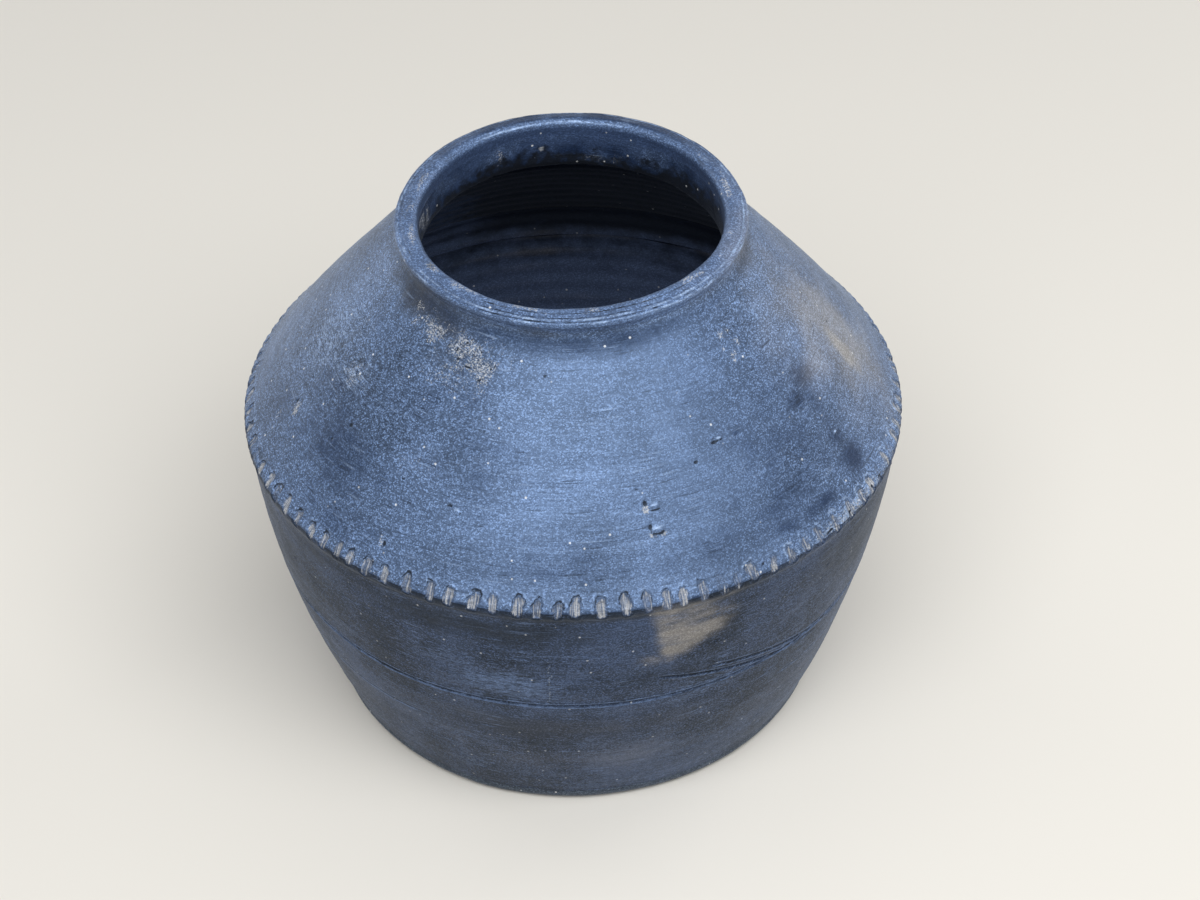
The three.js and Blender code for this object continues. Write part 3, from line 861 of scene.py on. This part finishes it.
# Layers: mark, pattern that breaks its edge, by how much, levels where it starts and is full, cover, colour
LAYERS = (
    ("inside", "clouds", 0.8, 0.0, 0.9, 0.95, "inside"),
    ("brown", "clouds", 1.0, 0.1, 0.95, 0.85, "brown"),
    ("soot_and_shade", "mottle", 1.2, 0.05, 0.95, 0.95, "soot_and_shade"),
    ("ash_and_highlight", "clouds", 0.6, 0.0, 1.1, 0.85, "ash_and_highlight"),
    ("wear_and_highlight", "combed", 1.4, 0.3, 1.0, 0.9, "wear_and_highlight"),
    ("dust", "crumbs", 2.6, 0.6, 1.1, 0.8, "dust"),
    ("notch", "crumbs", 1.8, 0.1, 0.9, 0.75, "notch"),
    ("notch", "strokes", 3.4, 0.6, 1.25, 0.75, "stroke"),
    # Pits, grooves, outlines of hollows and the deep inside, darkened as painted shade
    ("pit_shade", "coarse", 0.5, 0.3, 0.5, 1.0, "pit_shade"),
)
# A mark weaker than one part in this many fades out whatever its pattern says
FAINTEST = 20.0
# Level scratches: level of the scuffs where they start and are full, cover and colour in the look
SCRATCHES = ((0.37, 0.29, "scratches", "pit_shade"), (0.63, 0.73, "scuffs", "wear_and_highlight"))
# Specks of pale grit in mm, drawn half as large again so that they show: spacing, outer and full radius
SPECK_SPACING = 8
SPECK_RADIUS = 0.64
SPECK_FULL = 0.36
SPECK_COLOUR = "#d6d8da"
# Heights of the patterns in mm: strokes of the pebble, hollows between the grit, wiping lines, scratches
PATTERN_HEIGHTS = (("combed", 0.02), ("coarse", 0.03), ("crumbs", 0.03), ("lines", 0.04), ("scuffs", 0.1))
FILM_TINT = "#c8d2e2"
FILM_ROUGHNESS = 0.4


def clay_patterns(tree, mm):
    """The patterns in the clay, and the facets of its grit, each with a tone and a tilt of its own."""
    # The strokes of the stick run up the notches: their places go by the turn round the pot
    front = reckon_vector(tree, "MULTIPLY", mm, (1, -1, 1))
    sides = add(tree, "ShaderNodeSeparateXYZ", {0: front}).outputs
    turn = reckon(tree, "ARCTAN2", sides[0], sides[1])
    turned = reckon(tree, "MULTIPLY", turn, band_radius)
    around = add(tree, "ShaderNodeCombineXYZ", {0: turned, 2: sides[2]}).outputs[0]
    patterns = {}
    for label, spacing, detail, roughness in PATTERNS:
        start = around if label == "strokes" else mm
        scaled = reckon_vector(tree, "MULTIPLY", start, [1 / s for s in spacing])
        inputs = {"Vector": scaled, "Scale": 1, "Detail": detail, "Roughness": roughness}
        patterns[label] = add(tree, "ShaderNodeTexNoise", inputs).outputs[0]
    flattened = reckon_vector(tree, "MULTIPLY", mm, (1, 1, GRIT_LENGTH / GRIT_HEIGHT))
    cells = {"Vector": flattened, "Scale": 1 / GRIT_LENGTH, "Randomness": 1}
    facet = add(tree, "ShaderNodeTexVoronoi", cells).outputs["Color"]
    tone = add(tree, "ShaderNodeSeparateColor", {0: facet}).outputs[0]
    patterns["facets"] = reckon(tree, "ADD", reckon(tree, "POWER", tone, FACET_POWER), FACET_LIFT)
    return patterns, facet


def clay_shade(tree, look, patterns, keenness):
    """Tone of the bare skin from dark to light: the smoke's clouds, and grain where it is not rubbed away."""
    weights = [(label, share * look["contrast"]) for label, share in GRAIN_SHARES]
    grain = -0.5 * sum(weight for _, weight in weights)
    for label, weight in weights:
        grain = reckon(tree, "MULTIPLY_ADD", patterns[label], weight, grain)
    clouding = look["clouding"]
    tone = reckon(tree, "MULTIPLY_ADD", patterns["clouds"], clouding, 0.45 - 0.5 * clouding)
    tone = reckon(tree, "MULTIPLY_ADD", grain, keenness, tone)
    return add(tree, "ShaderNodeClamp", {0: tone}).outputs[0]


def layered(tree, look, patterns, marks, colour):
    """The layers of fire, dust and wear over the skin."""
    for mark, label, amount, empty, full, most, shown in LAYERS:
        broken = reckon(tree, "MULTIPLY_ADD", patterns[label], amount, -0.5 * amount)
        field = reckon(tree, "ADD", marks[mark], broken)
        cover = spread(tree, field, empty, full, 0, most, interpolation_type="SMOOTHSTEP")
        there = reckon(tree, "MULTIPLY", marks[mark], FAINTEST, use_clamp=True)
        cover = reckon(tree, "MULTIPLY", cover, there)
        colour = laid_over(tree, cover, colour, look[shown])
    return colour


def scratched(tree, look, patterns, marks, mm, colour):
    """Level scratches in groups, dark and pale, and a few specks of pale grit."""
    grouped = spread(tree, patterns["mottle"], 0.46, 0.6, 0.15, 1)
    grouped = reckon(tree, "SUBTRACT", grouped, marks["inside"], use_clamp=True)
    for low, high, most, shown in SCRATCHES:
        cut = spread(tree, patterns["scuffs"], low, high, 0, look[most])
        colour = laid_over(tree, reckon(tree, "MULTIPLY", cut, grouped), colour, look[shown])
    places = {"Vector": mm, "Scale": 1 / SPECK_SPACING, "Randomness": 1}
    cells = add(tree, "ShaderNodeTexVoronoi", places).outputs[0]
    edge, full = SPECK_RADIUS / SPECK_SPACING, SPECK_FULL / SPECK_SPACING
    return laid_over(tree, spread(tree, cells, edge, full, 0, look["specks"]), colour, SPECK_COLOUR)


def lustre_left(tree, look, marks):
    """The lustre of the carbon film, which is gone under dust, ash and brown patches."""
    if not look["lustre"]:
        return 0
    covered = 0.0
    for mark in ("dust", "ash_and_highlight", "notch", "brown"):
        covered = reckon(tree, "ADD", marks[mark], covered, use_clamp=True)
    return spread(tree, covered, 0, 1, look["lustre"], 0)


def clay_normal(tree, look, patterns, facet):
    """The lie of the surface: tilted facets of grit under the heights of the patterns."""
    height = 0.0
    for label, weight in PATTERN_HEIGHTS:
        height = reckon(tree, "MULTIPLY_ADD", patterns[label], weight, height)
    level = reckon_vector(tree, "SUBTRACT", facet, (0.5, 0.5, 0.5))
    smooth = add(tree, "ShaderNodeNewGeometry", {}).outputs["Normal"]
    tilted = reckon_vector(tree, "MULTIPLY_ADD", level, [look["grit"]] * 3, smooth)
    tilted = reckon_vector(tree, "NORMALIZE", tilted)
    inputs = {"Height": height, "Strength": 1, "Distance": MM, "Normal": tilted}
    return add(tree, "ShaderNodeBump", inputs).outputs[0]


def blackened_clay(name, look):
    """Earthenware blackened in a smoky fire: a slate-blue skin, mottled, with fine grit and level scuffs."""
    material = bpy.data.materials.new(name)
    material.use_nodes = True
    tree = material.node_tree
    tree.nodes.clear()
    place = add(tree, "ShaderNodeTexCoord", {}).outputs["Object"]
    mm = add(tree, "ShaderNodeVectorMath", {0: place, 3: 1 / MM}, operation="SCALE").outputs[0]
    marks = {}
    for mark in MARKS:
        marks[mark] = add(tree, "ShaderNodeAttribute", {}, attribute_name=mark).outputs["Fac"]
    # The grain is keenest where the pebble rubbed least
    keenness = spread(tree, marks["polish"], 0, 1, 1, POLISHED_GRAIN)
    patterns, facet = clay_patterns(tree, mm)
    shade = clay_shade(tree, look, patterns, keenness)
    colour = laid_over(tree, shade, hex_colour(look["dark"]), look["light"])
    colour = layered(tree, look, patterns, marks, colour)
    colour = scratched(tree, look, patterns, marks, mm, colour)
    # Grit shows through every layer
    gritty = spread(tree, patterns["facets"], FACET_LIFT, 1 + FACET_LIFT, *FACET_SHADES)
    gritty = reckon(tree, "MULTIPLY_ADD", gritty, keenness, 1.0)
    colour = add(tree, "ShaderNodeVectorMath", {0: colour, 3: gritty}, operation="SCALE").outputs[0]
    rough = spread(tree, shade, 0, 1, look["rough"] + 0.05, look["rough"] - 0.04)
    for mark in ("dust", "notch", "ash_and_highlight", "pit_shade"):
        rough = reckon(tree, "MULTIPLY_ADD", marks[mark], 0.2, rough, use_clamp=True)
    shader = add(tree, "ShaderNodeBsdfPrincipled", {
        "Base Color": colour, "Metallic": lustre_left(tree, look, marks), "Roughness": rough,
        "Normal": clay_normal(tree, look, patterns, facet), "IOR": look["ior"],
        "Specular IOR Level": look["gloss"], "Specular Tint": hex_colour(look["sheen"]),
        "Sheen Weight": look["film"], "Sheen Roughness": FILM_ROUGHNESS, "Sheen Tint": hex_colour(FILM_TINT),
    }).outputs[0]
    add(tree, "ShaderNodeOutputMaterial", {"Surface": shader})
    return material


# The skin's slate blue is partly the clay's own and partly a painted reflection of a blue sky
SKIN = {
    "dark": "#151d2b", "light": "#728bb4", "soot_and_shade": "#1a2945", "brown": "#272628", "ash_and_highlight": "#a09a90",
    "wear_and_highlight": "#95abcc", "notch": "#505b70", "dust": "#b0b2b4", "stroke": "#b0b0af", "inside": "#394a6a",
    "pit_shade": "#12141a", "rough": 0.42, "lustre": 0.12, "gloss": 0.5, "ior": 1.65, "sheen": "#b8d6ff",
    "grit": 0.13, "scuffs": 0.3, "scratches": 0.6, "specks": 0.8, "film": 0.08, "clouding": 0.7,
    "contrast": 0.62,
}
# Burnished with a pebble while leather hard: carbon in the closed skin gives a soft blue-grey sheen
shoulder_clay = blackened_clay("burnished_smoked_clay", SKIN)
# Wiped with a wet rag: more matt than the shoulder, and darker, partly its own tone and partly painted shade
# of a wall turned down and away from the light
lower_wall_clay = blackened_clay("wiped_smoked_clay", {
    **SKIN, "dark": "#080b11", "light": "#384662", "soot_and_shade": "#0d1118", "ash_and_highlight": "#86817a", "wear_and_highlight": "#586b8d",
    "dust": "#7f8895", "inside": "#43506c", "rough": 0.56, "lustre": 0.1, "ior": 1.5, "scuffs": 0.7,
    "film": 0.12, "specks": 0.4, "clouding": 2.7, "contrast": 0.95,
})
# Pressed by a stick: the same skin as the shoulder, with dust in the hollows
band_clay = blackened_clay("notched_smoked_clay", SKIN)
# Wiped by hand under the rim, with a brownish tinge and painted shade under the rim's overhang
neck_clay = blackened_clay("collar_smoked_clay", SKIN)
# Rubbed by use along the edges, where its pale lines are painted highlights
rim_clay = blackened_clay("rubbed_and_highlit_smoked_clay", {
    **SKIN, "dark": "#25314a", "light": "#6e87b0", "rough": 0.4, "clouding": 0.6, "contrast": 0.42,
})
# Never wiped: rough and sooty
inner_clay = blackened_clay("sooty_clay", {
    **SKIN, "dark": "#131823", "light": "#34405a", "inside": "#43506c", "soot_and_shade": "#1a1c22", "rough": 0.7,
    "lustre": 0, "gloss": 0.4, "film": 0, "specks": 0.3,
})
# Pressed on a gritty board: matt and rough
base_clay = blackened_clay("pressed_smoked_clay", {
    **SKIN, "dark": "#0e1117", "light": "#48525f", "soot_and_shade": "#0d1118", "rough": 0.62, "lustre": 0,
    "film": 0.12, "contrast": 1.0,
})

# Columns round the pot: many on the faces that show, few on the hidden ones
NOTCH_FINE = 1680
FINE = 840
MEDIUM = 420
COARSE = 210

# Radius of the one face in the middle of a disc
DISC_MIDDLE = 2

clay_piece("base_slab", "base_disc", [
    whole(Outline([(DISC_MIDDLE, 0), (foot_radius - foot_rounding - 1, 0)]), 3.0, MEDIUM, underside_skin),
    strip(outer_face, 0, at_foot, 1.0, MEDIUM, skin),
    whole(Outline([heel, (DISC_MIDDLE, base_top)]), 3.0, MEDIUM, pot_floor_skin),
], base_clay, capped=True)
clay_piece("foot_course", "foot_wall", [
    strip(outer_face, at_foot, at_join, 1.2, FINE, skin),
    whole(Outline(foot_inside), 2.5, COARSE, inner_skin),
], lower_wall_clay)
# The strips of the wall leave gaps of about one row, which the faces between them fill
clay_piece("belly_course", "belly_wall", [
    strip(outer_face, at_join, at_lines, 0.6, FINE, skin),
    strip(outer_face, at_lines + 0.9, at_notches - 0.8, 1.1, FINE, skin),
    strip(outer_face, at_notches, at_band, 0.5, NOTCH_FINE, notched_skin),
    whole(Outline(belly_inside), 2.0, MEDIUM, belly_inner_skin),
], lower_wall_clay)
band_root = belly_radius - BAND_DEPTH
root_line = Outline([(band_root, BELLY_HEIGHT + 0.5), (band_root, BELLY_HEIGHT - 0.5)])
clay_piece("notched_strip", "notched_band", [
    strip(outer_face, at_band, at_shoulder, 0.5, NOTCH_FINE, notched_skin),
    whole(root_line, 1, COARSE, bare_clay),
], band_clay)
clay_piece("shoulder_shell", "shoulder_wall", [
    strip(outer_face, at_shoulder, at_neck, 1.0, FINE, skin),
    whole(Outline(shoulder_inside), 2.5, COARSE, under_shoulder_skin),
], shoulder_clay)
clay_piece("hollow_neck", "neck_collar", [
    strip(outer_face, at_neck, at_rim, 0.6, FINE, skin),
    whole(Outline(collar_inside, EASED), 0.8, MEDIUM, collar_inner_skin),
], neck_clay)
rim_inside = bowed(
    (MOUTH_RADIUS + 3.0, rim_top), (MOUTH_RADIUS + 0.9, rim_top - 0.7), (MOUTH_RADIUS + 0.2, rim_top - 2.4),
)
rim_line = Outline(np.vstack([
    outer_face.line[outer_face.along >= at_rim],
    rim_inside, (MOUTH_RADIUS, rim_top - 4), (MOUTH_RADIUS, rim_seat),
]), EASED, at_rim)
clay_piece("rolled_rim", "rim_roll", [whole(rim_line, 0.45, FINE, rim_skin)], rim_clay)

# Coils smeared into the inside corners
coil_top = on_inner_wall(base_top + BASE_COIL_LEG)
coil_toe = heel - (BASE_COIL_LEG, 0)
coil_bend = 0.5 * heel + 0.25 * (coil_top + coil_toe)
base_coil = np.vstack([bowed(coil_top, coil_bend, coil_toe), heel + (0.2, -0.2)])
clay_piece("floor_coil", "base_seam_coil", [
    whole(Outline(base_coil), 1.2, MEDIUM, inner_skin),
], inner_clay)


def from_corner(towards):
    """The edge of the shoulder's coil, on the way from the corner to a place on the inner face."""
    return corner + SHOULDER_COIL_LEG * (towards - corner) / np.linalg.norm(towards - corner)


# Directions are taken eight rows away from the corner
coil_low = from_corner(belly_inside[8])
coil_high = from_corner(shoulder_inside[-9])
seam_bulge = corner - (1.5, 0.1)
shoulder_coil = np.vstack([bowed(coil_high, seam_bulge, coil_low), corner + (0.2, 0)])
clay_piece("shoulder_coil", "shoulder_seam_coil", [
    whole(Outline(shoulder_coil), 1.2, MEDIUM, coil_skin),
], inner_clay)

# Floor, light and camera, in metres
FLOOR_HALF = 12.0
FLOOR_DROP = 0.0004
floor_sides = ((-1, -1), (1, -1), (1, 1), (-1, 1))
floor_mesh = bpy.data.meshes.new("studio_floor")
floor_corners = [(x * FLOOR_HALF, y * FLOOR_HALF, -FLOOR_DROP) for x, y in floor_sides]
floor_mesh.from_pydata(floor_corners, [], [(0, 1, 2, 3)])
floor = placed("studio_floor", floor_mesh)
# Matt paint without a pattern: plain and pale, so that only the pot catches the eye
floor_paint = bpy.data.materials.new("matt_pale_floor_paint")
floor_paint.use_nodes = True
floor_shader = floor_paint.node_tree.nodes["Principled BSDF"]
floor_shader.inputs["Base Color"].default_value = hex_colour("#e2dfd8")
floor_shader.inputs["Roughness"].default_value = 0.9
floor_mesh.materials.append(floor_paint)

# The sky is a little brighter where it is seen or mirrored than where it lights
SKY_LIGHT = 0.3
SKY_SEEN = 0.42
world = bpy.data.worlds.new("pale_studio")
world.use_nodes = True
bpy.context.scene.world = world
sky = world.node_tree
sky.nodes.clear()
rays = add(sky, "ShaderNodeLightPath", {}).outputs
seen = reckon(sky, "MAXIMUM", rays["Is Camera Ray"], rays["Is Glossy Ray"])
seen = reckon(sky, "MAXIMUM", seen, rays["Is Transmission Ray"])
level_of_sky = spread(sky, seen, 0, 1, SKY_LIGHT, SKY_SEEN)
backdrop = add(sky, "ShaderNodeBackground", {"Color": (1, 1, 1, 1), "Strength": level_of_sky}).outputs[0]
add(sky, "ShaderNodeOutputWorld", {"Surface": backdrop})

POT_MIDDLE = Vector((0, 0, 0.15))
# Soft lights: degrees from the front towards the right, degrees up, distance, width, height and watts
SOFTBOXES = (
    ("front_softbox", 8.5, 54, 1.6, 2.2, 0.9, 30.5),
    ("overhead_softbox", 150, 80, 1.9, 2.0, 2.0, 3),
    ("left_back_softbox", -130, 16, 1.9, 1.0, 1.0, 6),
    ("right_back_softbox", 126, 22, 1.9, 1.0, 1.0, 8),
)


def softbox(name, azimuth, elevation, distance, wide, tall, power):
    """A soft light that faces the pot."""
    lamp = bpy.data.lights.new(name, "AREA")
    lamp.shape = "RECTANGLE"
    lamp.size = wide
    lamp.size_y = tall
    lamp.energy = power
    holder = placed(name, lamp)
    turn, lift = math.radians(azimuth), math.radians(elevation)
    level = math.cos(lift)
    towards = Vector((math.sin(turn) * level, -math.cos(turn) * level, math.sin(lift)))
    holder.location = POT_MIDDLE + distance * towards
    holder.rotation_euler = towards.to_track_quat("Z", "Y").to_euler()
    holder.visible_camera = False


for light in SOFTBOXES:
    softbox(*light)

# The camera that the photograph's outline was fitted with, for an image of 1200 by 900
CAMERA_PLACE = (0.0, -0.964, 0.9222)
CAMERA_PITCH = 0.6981
CAMERA_YAW = 0.0127
CAMERA_ROLL = 0.0048
SENSOR_WIDTH = 36
FOCAL_LENGTH = 80.97
lens = bpy.data.cameras.new("camera")
lens.sensor_width = SENSOR_WIDTH
lens.lens = FOCAL_LENGTH
camera = placed("camera", lens)
facing = Matrix.Rotation(-CAMERA_YAW, 4, "Z") @ Matrix.Rotation(math.pi / 2 - CAMERA_PITCH, 4, "X")
facing = facing @ Matrix.Rotation(-CAMERA_ROLL, 4, "Z")
camera.matrix_world = Matrix.Translation(CAMERA_PLACE) @ facing
bpy.context.scene.camera = camera
bpy.context.scene.view_settings.view_transform = "Standard"

bpy.context.view_layer.update()
